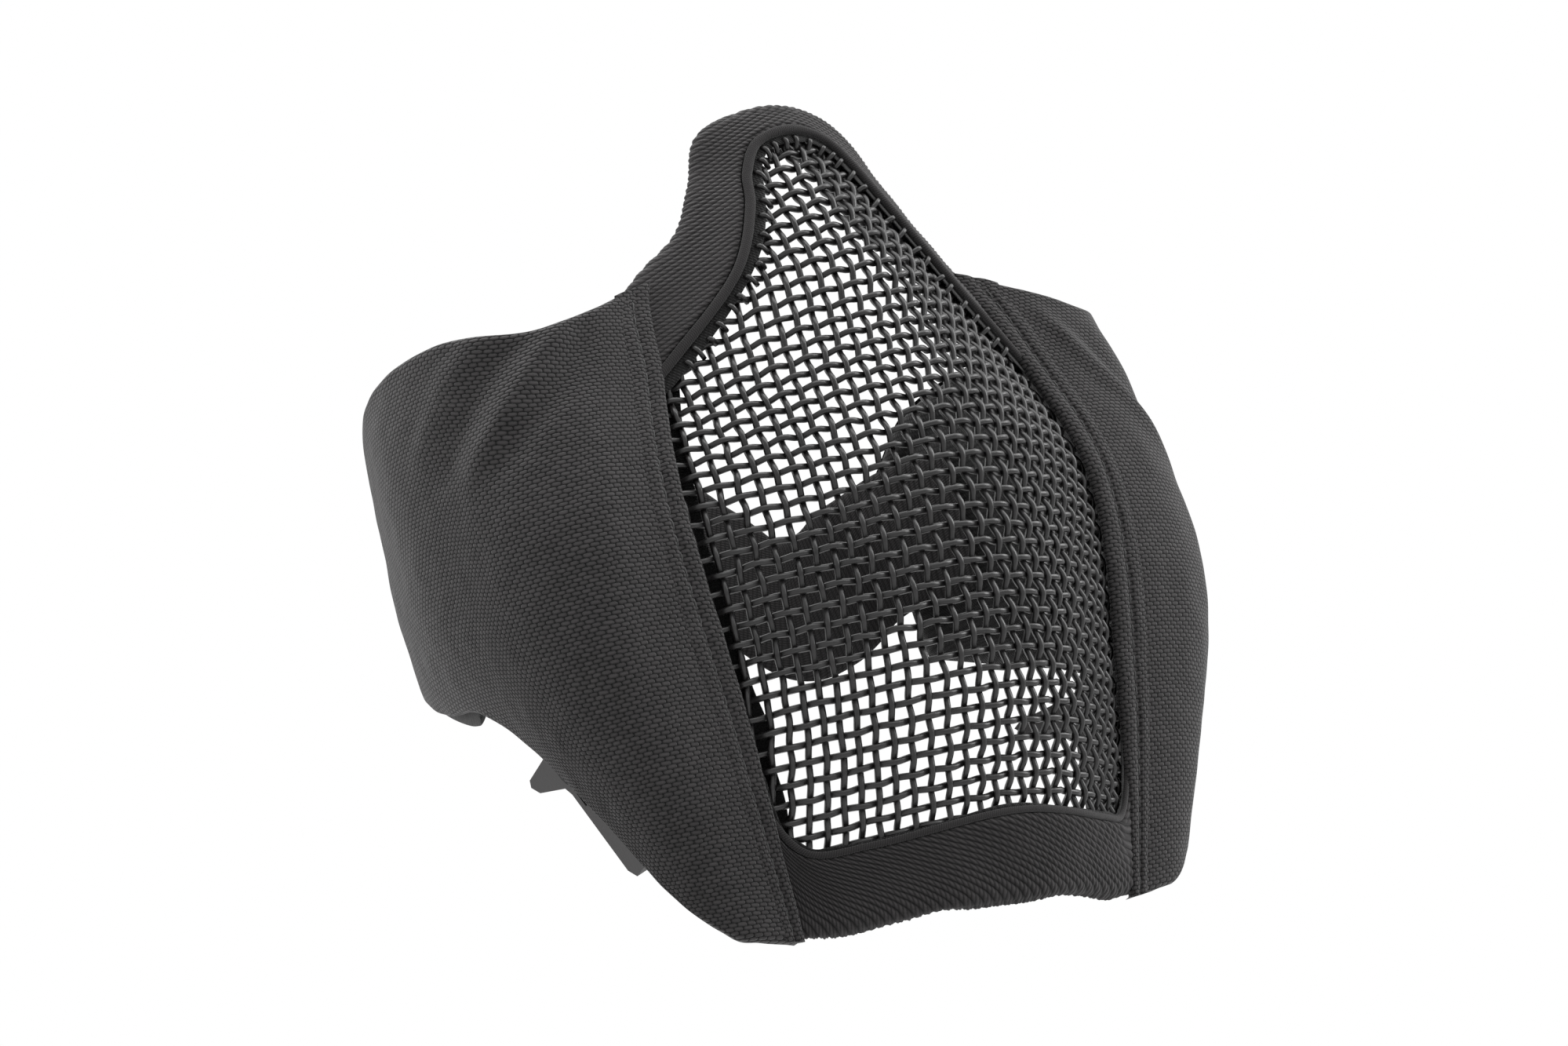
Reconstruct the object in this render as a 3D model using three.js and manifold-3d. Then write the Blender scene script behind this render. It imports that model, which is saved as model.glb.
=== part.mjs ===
// Lower-face mask: a dished woven-wire face panel held between two ribbed bands,
// padded fabric cheek wings sewn along both sides, an adjustable neck strap and
// two swinging helmet-rail clips. Millimetres, +Z up, the wearer faces -Y, +X is
// the wearer's left. The origin is the middle of the wearer's face seat.
import * as THREE from "three";
import { mergeVertices } from "three/addons/utils/BufferGeometryUtils.js";
import Module from "manifold-3d";

const wasm = await Module();
wasm.setup();

// ---- driving dimensions ---------------------------------------------------
const SEAT_HEIGHT = 70; // chin edge up to the origin
const CROWN = 150; // chin edge up to the top of the wire at the nose
const CHIN_EDGE = 2; // chin edge up to the wire, which the chin band folds under
const SEAM_TOP = 120; // chin edge up to the top of the cheek seam
const MESH_THICK = 2; // two crossed wires
const MESH_TUCK = 3; // how far the wire runs on under the cheek wing
const GAP = 0.35; // clearance between touching pieces
const BAND_THICK = 1.2;
const BAND_END = 0.025; // share of the edge left clear at each seam
const PIPING_R = 0.9;
const SHELL_LIFT = 0.45; // the cheek shell stands this far off the wire
const SHELL_THICK = 0.9;
const FOAM_THICK = 1.6;
const LINING_THICK = 0.6;
const HEM_SHARE = 0.055;
const HEM_THICK = 0.6;
const PAD_THICK = 3;
const STRAP_WIDTH = 28;
const STRAP_THICK = 1.5;

// Face panel by height: half width, how far the side and the centre stand
// forward, and roundness (low is a ridge, high is a plain arc).
const FACE = [
  [0, 38, 0.5, 14, 1.4],
  [38, 43, 7, 29, 1.1],
  [77, 47, 10, 32, 0.7],
  [105, 40, 5, 25, 0.45],
  [120, 33, 2.5, 21.5, 0.42],
  [CROWN, 13, 4, 6.5, 0.45],
];
// Left halves of the band edges as [x, height], seam to middle.
const NOSE_OUTER = [[32.5, 119], [24, 128.5], [17.5, 141.5], [0, CROWN]];
const NOSE_INNER = [[37.5, 105], [21, 118], [13, 132], [0, 144]];
const CHIN_OUTER = [[37, CHIN_EDGE], [31, CHIN_EDGE], [16, CHIN_EDGE], [0, CHIN_EDGE]];
const CHIN_INNER = [[40, 26], [35, 17], [26, 14], [0, 14]];

// Cheek wing plan sections by height: x and y of two curve handles and the rear edge.
const WING = [
  [0, 58, -4, 55, 12, 50, 26],
  [45, 86, -14, 76, 21, 56, 47],
  [65, 88, -16, 85, 26, 58, 59],
  [SEAM_TOP, 80, -13, 82, 27, 57, 60],
];
// Wing edges: height by share of the section, 0 at the seam and 1 at the rear.
const WING_BOTTOM = [[0, 0], [0.14, 1], [0.28, 3], [0.42, 13], [0.54, 38], [0.66, 51], [0.82, 56], [1, 66]];
const WING_TOP = [[0, SEAM_TOP], [0.12, 115], [0.25, 112.5], [0.5, 115.5], [0.8, 115.5], [0.93, 111], [1, 101]];

// Neck strap: where it is sewn inside each wing, and its free run as [x, y, height].
const STRAP_SEWN = [[0.86, 87], [0.92, 87], [0.98, 87]];
const STRAP_FREE = [[-50, 64, 90], [-40, 67, 94], [-24, 67, 95], [-8, 67, 96], [6, 66, 94.5],
  [20, 65, 85], [32, 65, 77], [42, 65, 79], [50, 64, 84]];
const ADJUSTER_AT = 2; // the free point the adjuster rests at

// ---- small maths ----------------------------------------------------------
const vec = (x, y, z) => new THREE.Vector3(x, y, z);
const lerp = THREE.MathUtils.lerp;

// A column of rows keyed by their first value, read smoothly between rows.
function smooth(rows, key, column = 1) {
  const last = rows.length - 1;
  let i = 0;
  while (i < last - 1 && key > rows[i + 1][0]) i++;
  const slope = (k) => {
    const a = rows[Math.max(0, k - 1)];
    const b = rows[Math.min(last, k + 1)];
    return (b[column] - a[column]) / (b[0] - a[0]);
  };
  const span = rows[i + 1][0] - rows[i][0];
  const t = THREE.MathUtils.clamp((key - rows[i][0]) / span, 0, 1);
  const bend = t * (1 - t) * span;
  return lerp(rows[i][column], rows[i + 1][column], t * t * (3 - 2 * t))
    + bend * ((1 - t) * slope(i) - t * slope(i + 1));
}

// A band edge from the right seam, share 0, over the middle to the left seam, share 1.
function mirroredCurve(leftHalf) {
  const right = leftHalf.map(([x, z]) => vec(-x, 0, z));
  const left = leftHalf.slice(0, -1).reverse().map(([x, z]) => vec(x, 0, z));
  return new THREE.CatmullRomCurve3([...right, ...left]);
}

// ---- the two base surfaces ------------------------------------------------
function facePoint(x, z) {
  const [half, side, centre, k] = [1, 2, 3, 4].map((column) => smooth(FACE, z, column));
  const s = x / half;
  const rise = (Math.sqrt(s * s + k * k) - k) / (Math.sqrt(1 + k * k) - k);
  return vec(x, lerp(-centre, -side, rise), z);
}

function wingPoint(share, z) {
  const seam = facePoint(smooth(FACE, z, 1), z);
  const [x1, y1, x2, y2, x3, y3] = [1, 2, 3, 4, 5, 6].map((column) => smooth(WING, z, column));
  const curve = new THREE.CubicBezierCurve(
    new THREE.Vector2(seam.x, seam.y), new THREE.Vector2(x1, y1),
    new THREE.Vector2(x2, y2), new THREE.Vector2(x3, y3),
  );
  const p = curve.getPoint(share);
  return vec(p.x, p.y, z);
}

// A surface point moved along its outward normal.
function lifted(surface, a, b, stepA, lift) {
  const du = surface(a + stepA, b).sub(surface(a - stepA, b));
  const dv = surface(a, b + 0.2).sub(surface(a, b - 0.2));
  return surface(a, b).addScaledVector(du.cross(dv).normalize(), lift);
}
const onFace = (x, z, lift) => lifted(facePoint, x, z, 0.2, lift);
const onWing = (share, z, lift) => lifted(wingPoint, share, z, 0.004, lift);

// ---- closed solids --------------------------------------------------------
// Geometry from points and faces, with its faces turned to point out.
function solid(points, faces) {
  let volume = 0;
  for (const [a, b, c] of faces)
    volume += points[a].dot(points[b].clone().cross(points[c]));
  const index = faces.flatMap(([a, b, c]) => (volume > 0 ? [a, b, c] : [a, c, b]));
  const geometry = new THREE.BufferGeometry().setFromPoints(points);
  geometry.setIndex(index);
  return geometry;
}

// A slab between two skins: at(i, j, skin) for i in 0..columns, j in 0..rows.
function slab(columns, rows, at) {
  const points = [];
  const faces = [];
  for (let i = 0; i <= columns; i++)
    for (let j = 0; j <= rows; j++) points.push(at(i, j, 0), at(i, j, 1));
  const id = (i, j, skin) => (i * (rows + 1) + j) * 2 + skin;
  const quad = (a, b, c, d) => faces.push([a, b, c], [a, c, d]);
  for (let i = 0; i < columns; i++)
    for (let j = 0; j < rows; j++) {
      quad(id(i, j, 0), id(i + 1, j, 0), id(i + 1, j + 1, 0), id(i, j + 1, 0));
      quad(id(i, j, 1), id(i, j + 1, 1), id(i + 1, j + 1, 1), id(i + 1, j, 1));
    }
  for (let i = 0; i < columns; i++) {
    quad(id(i, 0, 0), id(i, 0, 1), id(i + 1, 0, 1), id(i + 1, 0, 0));
    quad(id(i, rows, 0), id(i + 1, rows, 0), id(i + 1, rows, 1), id(i, rows, 1));
  }
  for (let j = 0; j < rows; j++) {
    quad(id(0, j, 0), id(0, j + 1, 0), id(0, j + 1, 1), id(0, j, 1));
    quad(id(columns, j, 0), id(columns, j, 1), id(columns, j + 1, 1), id(columns, j + 1, 0));
  }
  return solid(points, faces);
}

// A round or square bar along a list of rings with the same number of points.
function loft(rings) {
  const count = rings[0].length;
  const points = rings.flat();
  const faces = [];
  for (let s = 0; s < rings.length - 1; s++)
    for (let k = 0; k < count; k++) {
      const a = s * count + k;
      const b = s * count + ((k + 1) % count);
      faces.push([a, b, b + count], [a, b + count, a + count]);
    }
  const end = (rings.length - 1) * count;
  for (let k = 1; k < count - 1; k++)
    faces.push([0, k + 1, k], [end, end + k, end + k + 1]);
  return solid(points, faces);
}

function toManifold(geometry) {
  const bare = geometry.clone();
  bare.deleteAttribute("normal");
  bare.deleteAttribute("uv");
  const merged = mergeVertices(bare, 1e-4);
  return new wasm.Manifold(new wasm.Mesh({
    numProp: 3,
    vertProperties: new Float32Array(merged.attributes.position.array),
    triVerts: new Uint32Array(merged.index.array),
  }));
}

function fromManifold(made) {
  const mesh = made.getMesh();
  const geometry = new THREE.BufferGeometry();
  geometry.setAttribute("position", new THREE.BufferAttribute(mesh.vertProperties, 3));
  geometry.setIndex(new THREE.BufferAttribute(mesh.triVerts, 1));
  return geometry;
}

const extruded = (points, depth) => {
  const shape = new THREE.Shape(points.map(([x, y]) => new THREE.Vector2(x, y)));
  return new THREE.ExtrudeGeometry(shape, { depth, bevelEnabled: false });
};

// ---- materials ------------------------------------------------------------
const finish = (color, roughness, metalness = 0) =>
  () => new THREE.MeshStandardMaterial({ color, roughness, metalness });
const wire = finish(0x2b2a2b, 0.45, 0.6);
const webbing = finish(0x2f2d2e, 0.95);
const cordura = finish(0x333132, 0.95);
const foam = finish(0x242424, 1);
const tricot = finish(0x2a292a, 1);
const plastic = finish(0x1d1d1e, 0.5);

const part = new THREE.Group();
const fromChinEdge = new THREE.Group(); // heights in this file start at the chin edge
fromChinEdge.position.z = -SEAT_HEIGHT;
part.add(fromChinEdge);

function add(name, geometry, material) {
  const mesh = new THREE.Mesh(geometry, material());
  mesh.name = name;
  fromChinEdge.add(mesh);
}

// ---- wire face panel ------------------------------------------------------
const noseOuter = mirroredCurve(NOSE_OUTER);
const noseInner = mirroredCurve(NOSE_INNER);
const chinOuter = mirroredCurve(CHIN_OUTER);
const chinInner = mirroredCurve(CHIN_INNER);

// Half width of the nose band's outer edge at a height above the seam.
function noseHalfWidth(z) {
  let [low, high] = [0.5, 1];
  for (let step = 0; step < 20; step++) {
    const middle = (low + high) / 2;
    if (noseOuter.getPoint(middle).z > z) low = middle;
    else high = middle;
  }
  return noseOuter.getPoint(low).x;
}

// The wire's half width: tucked under the wing below the seam's top, then along the nose band.
function panelHalfWidth(z) {
  const tuck = THREE.MathUtils.clamp((114 - z) / 10, -0.4, 1) * MESH_TUCK;
  return z < NOSE_OUTER[0][1] ? smooth(FACE, z, 1) + tuck : noseHalfWidth(z);
}

function wirePanel() {
  const [columns, rows] = [22, 30];
  const [bottom, top] = [CHIN_EDGE, CROWN - 1.2];
  return slab(columns, rows, (i, j, skin) => {
    const z = lerp(bottom, top, j / rows);
    const x = panelHalfWidth(z) * ((2 * i) / columns - 1);
    return onFace(x, z, skin ? -MESH_THICK : 0);
  });
}

// ---- ribbed bands folded over the panel's free edges ------------------------
// The band's own section as [distance past the inner edge, lift] of its middle
// line: outer ply, half-round fold, inner ply.
function bandPath(width) {
  const outerLift = GAP + BAND_THICK / 2;
  const innerLift = -MESH_THICK - outerLift;
  const radius = (outerLift - innerLift) / 2;
  const path = [[0, outerLift], [width / 2, outerLift]];
  for (let k = 0; k <= 4; k++) {
    const turn = (k / 4) * Math.PI;
    path.push([width + radius * Math.sin(turn), innerLift + radius * (1 + Math.cos(turn))]);
  }
  path.push([width / 2, innerLift], [width / 4, innerLift]);
  return path;
}

function band(inner, outer, steps) {
  const rows = bandPath(1).length - 1;
  return slab(steps, rows, (i, j, skin) => {
    const share = lerp(BAND_END, 1 - BAND_END, i / steps);
    const a = inner.getPoint(share);
    const across = outer.getPoint(share).sub(a);
    const path = bandPath(across.length());
    const [before, here, after] = [path[Math.max(0, j - 1)], path[j], path[Math.min(rows, j + 1)]];
    const run = new THREE.Vector2(after[0] - before[0], after[1] - before[1]).normalize();
    const push = (skin ? -1 : 1) * (BAND_THICK / 2);
    const p = a.addScaledVector(across.normalize(), here[0] - run.y * push);
    return onFace(p.x, p.z, here[1] + run.x * push);
  });
}

// Rolled edging on the opening's side of a band: 1 above its inner edge, -1 below it.
function piping(inner, openSide, steps) {
  const sides = 8;
  const centre = (share) => {
    const tangent = inner.getTangent(share);
    const open = vec(-tangent.z, 0, tangent.x).multiplyScalar(openSide * (PIPING_R + GAP));
    const a = inner.getPoint(share).add(open);
    return onFace(a.x, a.z, PIPING_R + GAP);
  };
  const rings = [];
  for (let s = 0; s <= steps; s++) {
    const share = lerp(0.02, 0.98, s / steps);
    const c = centre(share);
    const tangent = centre(share + 0.004).sub(centre(share - 0.004)).normalize();
    const normal = onFace(c.x, c.z, 1).sub(onFace(c.x, c.z, 0));
    const across = tangent.clone().cross(normal).normalize();
    const up = across.clone().cross(tangent);
    const ring = [];
    for (let k = 0; k < sides; k++) {
      const turn = (k / sides) * 2 * Math.PI;
      ring.push(c.clone()
        .addScaledVector(across, PIPING_R * Math.cos(turn))
        .addScaledVector(up, PIPING_R * Math.sin(turn)));
    }
    rings.push(ring);
  }
  return loft(rings);
}

// Foam strip behind a band, against the wearer's face.
function bandPad(inner, outer, from, steps) {
  const top = -MESH_THICK - 2 * GAP - BAND_THICK;
  return slab(steps, 2, (i, j, skin) => {
    const share = lerp(from, 1 - from, i / steps);
    const p = inner.getPoint(share).lerp(outer.getPoint(share), lerp(0.35, 0.9, j / 2));
    return onFace(p.x, p.z, skin ? top - PAD_THICK : top);
  });
}

// ---- cheek wings ------------------------------------------------------------
// One ply between two lifts, from one share of the section to another, its top
// and bottom edges drawn in by an inset.
function wingPly(side, lifts, inset, from, to, grid) {
  const [columns, rows] = grid;
  return slab(columns, rows, (i, j, skin) => {
    const share = lerp(from, to, i / columns);
    const bottom = smooth(WING_BOTTOM, share) + inset;
    const top = smooth(WING_TOP, share) - inset;
    const p = onWing(share, lerp(bottom, top, j / rows), lifts[skin]);
    return vec(side * p.x, p.y, p.z);
  });
}

const shellLifts = [SHELL_LIFT + SHELL_THICK, SHELL_LIFT];
const hemLifts = [shellLifts[0] + GAP + HEM_THICK, shellLifts[0] + GAP];
const foamLifts = [SHELL_LIFT - 2 * GAP, SHELL_LIFT - 2 * GAP - FOAM_THICK];
const liningLifts = [foamLifts[1] - GAP, foamLifts[1] - GAP - LINING_THICK];

function addWing(name, side) {
  add(`${name}_cheek_shell`, wingPly(side, shellLifts, 0, 0, 1, [20, 14]), cordura);
  add(`${name}_cheek_hem`, wingPly(side, hemLifts, 0.5, 0, HEM_SHARE, [2, 14]), cordura);
  add(`${name}_cheek_foam`, wingPly(side, foamLifts, 3, 0.15, 0.95, [16, 10]), foam);
  add(`${name}_cheek_lining`, wingPly(side, liningLifts, 1, 0.15, 1, [17, 10]), tricot);
}

// ---- neck strap ---------------------------------------------------------------
const strapLift = liningLifts[1] - STRAP_THICK / 2 - 2;
const sewnLeft = STRAP_SEWN.map(([share, z]) => onWing(share, z, strapLift));
const sewnRight = sewnLeft.map((p) => vec(-p.x, p.y, p.z));
const strapCurve = new THREE.CatmullRomCurve3([
  ...sewnRight, ...STRAP_FREE.map((p) => vec(...p)), ...sewnLeft.reverse(),
]);

// Along the strap, up its width, and away from the wearer's neck.
function strapAxes(share) {
  const tangent = strapCurve.getTangentAt(share);
  const out = vec(0, 0, 1).cross(tangent).negate().normalize();
  return { at: strapCurve.getPointAt(share), tangent, out, up: out.clone().cross(tangent) };
}

function strapPly(from, to, steps, lift) {
  const corners = [[-1, -1], [1, -1], [1, 1], [-1, 1]];
  const rings = [];
  for (let s = 0; s <= steps; s++) {
    const { at, out, up } = strapAxes(lerp(from, to, s / steps));
    rings.push(corners.map(([a, b]) => at.clone()
      .addScaledVector(up, (a * STRAP_WIDTH) / 2)
      .addScaledVector(out, lift + (b * STRAP_THICK) / 2)));
  }
  return loft(rings);
}

// Three-bar slider: its end bars lie outside the strap and its middle bar inside.
function slider() {
  const [length, height, rail] = [20, STRAP_WIDTH + 6, 2.4];
  const clear = STRAP_THICK / 2 + 2 * GAP;
  const box = (w, d, h, x, y, z) => toManifold(new THREE.BoxGeometry(w, d, h).translate(x, y, z));
  const railAt = (height - rail) / 2;
  let made = box(length, 7, rail, 0, 0, railAt).add(box(length, 7, rail, 0, 0, -railAt));
  for (const x of [-1, 1]) made = made.add(box(3, 1.8, height, x * (length / 2 - 1.5), clear + 0.9, 0));
  made = made.add(box(4, 1.8, height, 0, -clear - 0.9, 0));
  const [before, here, after] = [-1, 0, 1].map((step) => vec(...STRAP_FREE[ADJUSTER_AT + step]));
  const run = after.sub(before);
  const frame = new THREE.Matrix4().makeRotationY(Math.atan2(-run.z, run.x)).setPosition(here);
  return fromManifold(made).applyMatrix4(frame);
}

// ---- helmet-rail clips ----------------------------------------------------------
// The clip's own frame: X along its pivot bar, Y down the plate, Z towards the wearer.
const CLIP_WIDTH = 16;
const CLIP_LENGTH = 21;
const CLIP_THICK = 2.2;
const CLIP_BAR_R = 1.3;
const CLIP_TONGUE = 13;
const SHOE_LENGTH = 12;
const SHOE_HEIGHT = 4;
// On the left, mirrored on the right: the middle of the bar, the way it runs
// forward along the wing, and the way the plate hangs from it.
const CLIP_PIVOT = [61.5, 16, 39.5];
const CLIP_FORWARD = [0.3, -0.95, 0];
const CLIP_DOWN = [-0.32, -0.2, -0.93];

function clipFrame(side) {
  const mirrored = ([x, y, z]) => vec(side * x, y, z);
  const down = mirrored(CLIP_DOWN).normalize();
  const inward = down.clone().cross(mirrored(CLIP_FORWARD)).multiplyScalar(side).normalize();
  const alongBar = down.clone().cross(inward);
  return new THREE.Matrix4().makeBasis(alongBar, down, inward).setPosition(mirrored(CLIP_PIVOT));
}

function railClip(side) {
  const h = CLIP_WIDTH / 2;
  const plateTop = 6;
  const towardsRear = ([x, y]) => [side * x, y]; // outlines below have the rear at +X
  const ear = (x) => toManifold(
    new THREE.BoxGeometry(3, plateTop + CLIP_BAR_R, CLIP_THICK).translate(x, plateTop / 2 - 0.6, 0));
  const plate = extruded([[-h, plateTop - 1], [h, plateTop - 1], [h, CLIP_LENGTH - 2],
    [h - 2, CLIP_LENGTH], [4 - h, CLIP_LENGTH], [-h, CLIP_LENGTH - 6]].map(towardsRear), CLIP_THICK)
    .translate(0, 0, -CLIP_THICK / 2);
  const bar = new THREE.CylinderGeometry(CLIP_BAR_R, CLIP_BAR_R, CLIP_WIDTH - 1, 12)
    .rotateZ(Math.PI / 2);
  const tip = h + CLIP_TONGUE;
  const tongue = extruded([[h - 3, -5.5], [tip - 1.5, -5.5], [tip, -4.5], [tip - 2, -2.5], [h, 1], [h - 3, 6]]
    .map(towardsRear), CLIP_THICK + 0.8).translate(0, 0, -CLIP_THICK / 2 - 0.4);
  const dovetail = extruded([[-5, 0], [5, 0], [3.5, SHOE_HEIGHT], [-3.5, SHOE_HEIGHT]], SHOE_LENGTH)
    .rotateX(-Math.PI / 2)
    .translate(0, CLIP_LENGTH - 2 - SHOE_LENGTH, CLIP_THICK / 2 + SHOE_HEIGHT - 0.2);
  const made = [plate, bar, tongue, dovetail].map(toManifold)
    .concat([ear(1.5 - h), ear(h - 1.5)])
    .reduce((total, piece) => total.add(piece));
  return fromManifold(made).applyMatrix4(clipFrame(side));
}

// Webbing hairpin round the clip's bar, its two tails sewn to the lining above.
function clipStrap(side) {
  const [thick, run] = [1.1, 10];
  const inside = CLIP_BAR_R + GAP;
  const points = [];
  for (let k = 0; k <= 8; k++) {
    const turn = (k / 8) * Math.PI;
    points.push([-(inside + thick) * Math.cos(turn), (inside + thick) * Math.sin(turn)]);
  }
  points.push([inside + thick, -run], [inside, -run]);
  for (let k = 8; k >= 0; k--) {
    const turn = (k / 8) * Math.PI;
    points.push([-inside * Math.cos(turn), inside * Math.sin(turn)]);
  }
  points.push([-inside, -run], [-inside - thick, -run]);
  const width = CLIP_WIDTH - 8;
  const geometry = extruded(points, width).translate(0, 0, -width / 2).rotateY(Math.PI / 2);
  return geometry.applyMatrix4(clipFrame(side));
}

// ---- the assembly ---------------------------------------------------------------
add("mesh_face_panel", wirePanel(), wire);
add("nose_band", band(noseInner, noseOuter, 32), webbing);
add("chin_band", band(chinInner, chinOuter, 20), webbing);
add("nose_piping", piping(noseInner, -1, 34), webbing);
add("chin_piping", piping(chinInner, 1, 26), webbing);
add("nose_pad", bandPad(noseInner, noseOuter, 0.2, 16), foam);
add("chin_pad", bandPad(chinInner, chinOuter, 0.12, 14), foam);
addWing("right", -1);
addWing("left", 1);
for (const [name, side] of [["right", -1], ["left", 1]]) {
  add(`${name}_rail_clip`, railClip(side), plastic);
  add(`${name}_clip_strap`, clipStrap(side), webbing);
}
add("right_neck_strap", strapPly(0, 0.45, 16, 0), webbing);
add("left_neck_strap", strapPly(0.455, 1, 18, 0), webbing);
add("strap_adjuster", slider(), plastic);

export default part;
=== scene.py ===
import math

import bmesh
import bpy
import numpy as np
from mathutils import Matrix


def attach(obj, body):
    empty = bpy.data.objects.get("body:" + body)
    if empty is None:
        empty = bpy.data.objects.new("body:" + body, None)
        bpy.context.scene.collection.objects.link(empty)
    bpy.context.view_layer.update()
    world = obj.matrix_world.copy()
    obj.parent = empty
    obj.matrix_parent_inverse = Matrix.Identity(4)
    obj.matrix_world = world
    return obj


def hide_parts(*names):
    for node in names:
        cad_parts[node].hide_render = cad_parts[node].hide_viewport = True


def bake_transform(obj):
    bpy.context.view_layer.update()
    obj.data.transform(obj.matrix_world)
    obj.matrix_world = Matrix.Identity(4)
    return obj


# Lower face mask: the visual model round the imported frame. Shapes are worked out in
# millimetres with heights from the chin edge, as in the CAD source, and become metres
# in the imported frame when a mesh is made.
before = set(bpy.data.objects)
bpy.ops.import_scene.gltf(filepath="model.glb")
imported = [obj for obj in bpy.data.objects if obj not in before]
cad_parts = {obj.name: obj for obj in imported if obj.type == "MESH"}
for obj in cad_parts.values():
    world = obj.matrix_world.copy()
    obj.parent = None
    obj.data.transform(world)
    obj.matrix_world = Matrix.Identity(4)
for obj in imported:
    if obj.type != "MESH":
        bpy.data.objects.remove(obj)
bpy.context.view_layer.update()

# ---- driving numbers, the same as the CAD source's except the bands' edges --------
SEAT_HEIGHT = 70  # chin edge up to the origin
CROWN = 150  # chin edge up to the top of the wire at the nose
CHIN_EDGE = 2  # chin edge up to the wire, which the chin band folds under
SEAM_TOP = 120  # chin edge up to the top of the cheek seam
MESH_THICK = 2  # two crossed wires
MESH_TUCK = 3  # how far the wire runs on under the cheek wing
GAP = 0.35  # clearance between touching pieces
BAND_THICK = 1.2
PIPING_R = 0.9
SHELL_LIFT = 0.45  # the cheek shell stands this far off the wire
SHELL_THICK = 0.9
FOAM_THICK = 1.6
LINING_THICK = 0.6
PAD_THICK = 3
STRAP_WIDTH = 28
STRAP_THICK = 1.5
# Face panel by height: half width, how far the side and the centre stand forward, and
# roundness (low is a ridge, high is a plain arc).
FACE = [
    [0, 38, 0.5, 14, 1.4],
    [38, 43, 7, 29, 1.1],
    [77, 47, 10, 32, 0.7],
    [105, 40, 5, 25, 0.45],
    [120, 33, 2.5, 21.5, 0.42],
    [CROWN, 13, 4, 6.5, 0.45],
]
# Half of each band edge as [across, up]. They have more shape than the CAD's, and run on under
# the wings' hems, where the CAD's stop short of them.
NOSE_OUTER = [[44, 112.5], [35.5, 119.6], [25.2, 127.6], [19, 137.5], [13.6, 147], [0, CROWN]]
NOSE_INNER = [[44, 99.5], [37.5, 105], [23, 118.5], [15.6, 131], [12.9, 138], [8, 144.4], [0, 146.6]]
CHIN_OUTER = [[40, 3.5], [37, 3], [31, CHIN_EDGE], [16, CHIN_EDGE], [0, CHIN_EDGE]]
CHIN_INNER = [[42.5, 30], [40.5, 20.5], [35.5, 13.6], [26, 12.6], [0, 14]]
NOSE_EDGE_FROM = 119  # above this the wire ends along the nose band, and below it under the wings
# Cheek wing plan sections by height: x and y of two curve handles and the rear edge.
WING = [
    [0, 58, -4, 55, 12, 50, 26],
    [45, 86, -14, 76, 21, 56, 47],
    [65, 88, -16, 85, 26, 58, 59],
    [SEAM_TOP, 80, -13, 82, 27, 57, 60],
]
# Wing edges: height by share of the section, 0 at the seam and 1 at the rear.
WING_BOTTOM = [[0, 0], [0.14, 1], [0.28, 3], [0.42, 13], [0.54, 38], [0.66, 51], [0.82, 56], [1, 66]]
WING_TOP = [[0, SEAM_TOP], [0.12, 115], [0.25, 112.5], [0.5, 115.5], [0.8, 115.5], [0.93, 111], [1, 101]]
# Neck strap: where it is sewn inside each wing, and its free run as [x, y, height].
STRAP_SEWN = [[0.86, 87], [0.92, 87], [0.98, 87]]
STRAP_FREE = [[-50, 64, 90], [-40, 67, 94], [-24, 67, 95], [-8, 67, 96], [6, 66, 94.5],
              [20, 65, 85], [32, 65, 77], [42, 65, 79], [50, 64, 84]]

# ---- numbers that only the looks use ----------------------------------------------
WIRE_PITCH = 3.2
WIRE_R = 0.6
WIRE_CRIMP = 0.54  # how far a wire swings off its middle surface at each crossing
STEPS_PER_PITCH = 6
WIRE_SIDES = 6
LEVELS = 600  # heights at which the wire cloth's surface is measured
REACH = 56  # how far across from the middle it is measured
NOSE_START = 70  # distance up the ridge at which the nose begins
WIRE_END = CHIN_EDGE + 5.5  # the wires end at this height, hidden inside the chin band
CHIN_PIPING_R = 0.6
BINDING_STEPS = 150
THREAD_LONG = 1.6  # the wings' coarse weave: one visible crossing along and across its row
THREAD_WIDE = 0.74
NOSE_RIBS = (0.84, 24, 1.2)  # ribs of a band: pitch, turn in degrees, thread length
CHIN_RIBS = (1.55, -45, 0.9)
STRAP_STANDS = 1.2  # the loose webbing keeps more upright than square to its route
STRAP_COLUMNS = 44
STRAP_CUT = 0.4525  # share of the strap's length where its halves meet
AIR_FRAMES = 12
AIR_CAP = 1.0  # no point of an inflated piece moves further than this
RIGHT, LEFT = -1, 1
SIDES = (("right", RIGHT), ("left", LEFT))

# ---- the room, in metres, watts and degrees ---------------------------------------
FLOOR_HEIGHT = -0.36
LIGHT_DISTANCE = 1.2
# Each light: name, azimuth, elevation, size, power.
LIGHTS = (("key", -120, 20, 0.8, 10), ("top", 15, 65, 1.0, 8), ("side", 55, 25, 0.8, 10))
CAMERA_TARGET = (-0.0168, 0, 0.0053)
CAMERA_AZIMUTH, CAMERA_ELEVATION, CAMERA_ROLL = -39.3, -13.1, 14.65
CAMERA_DISTANCE = 0.9
CAMERA_LENS = 116.9


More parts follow.
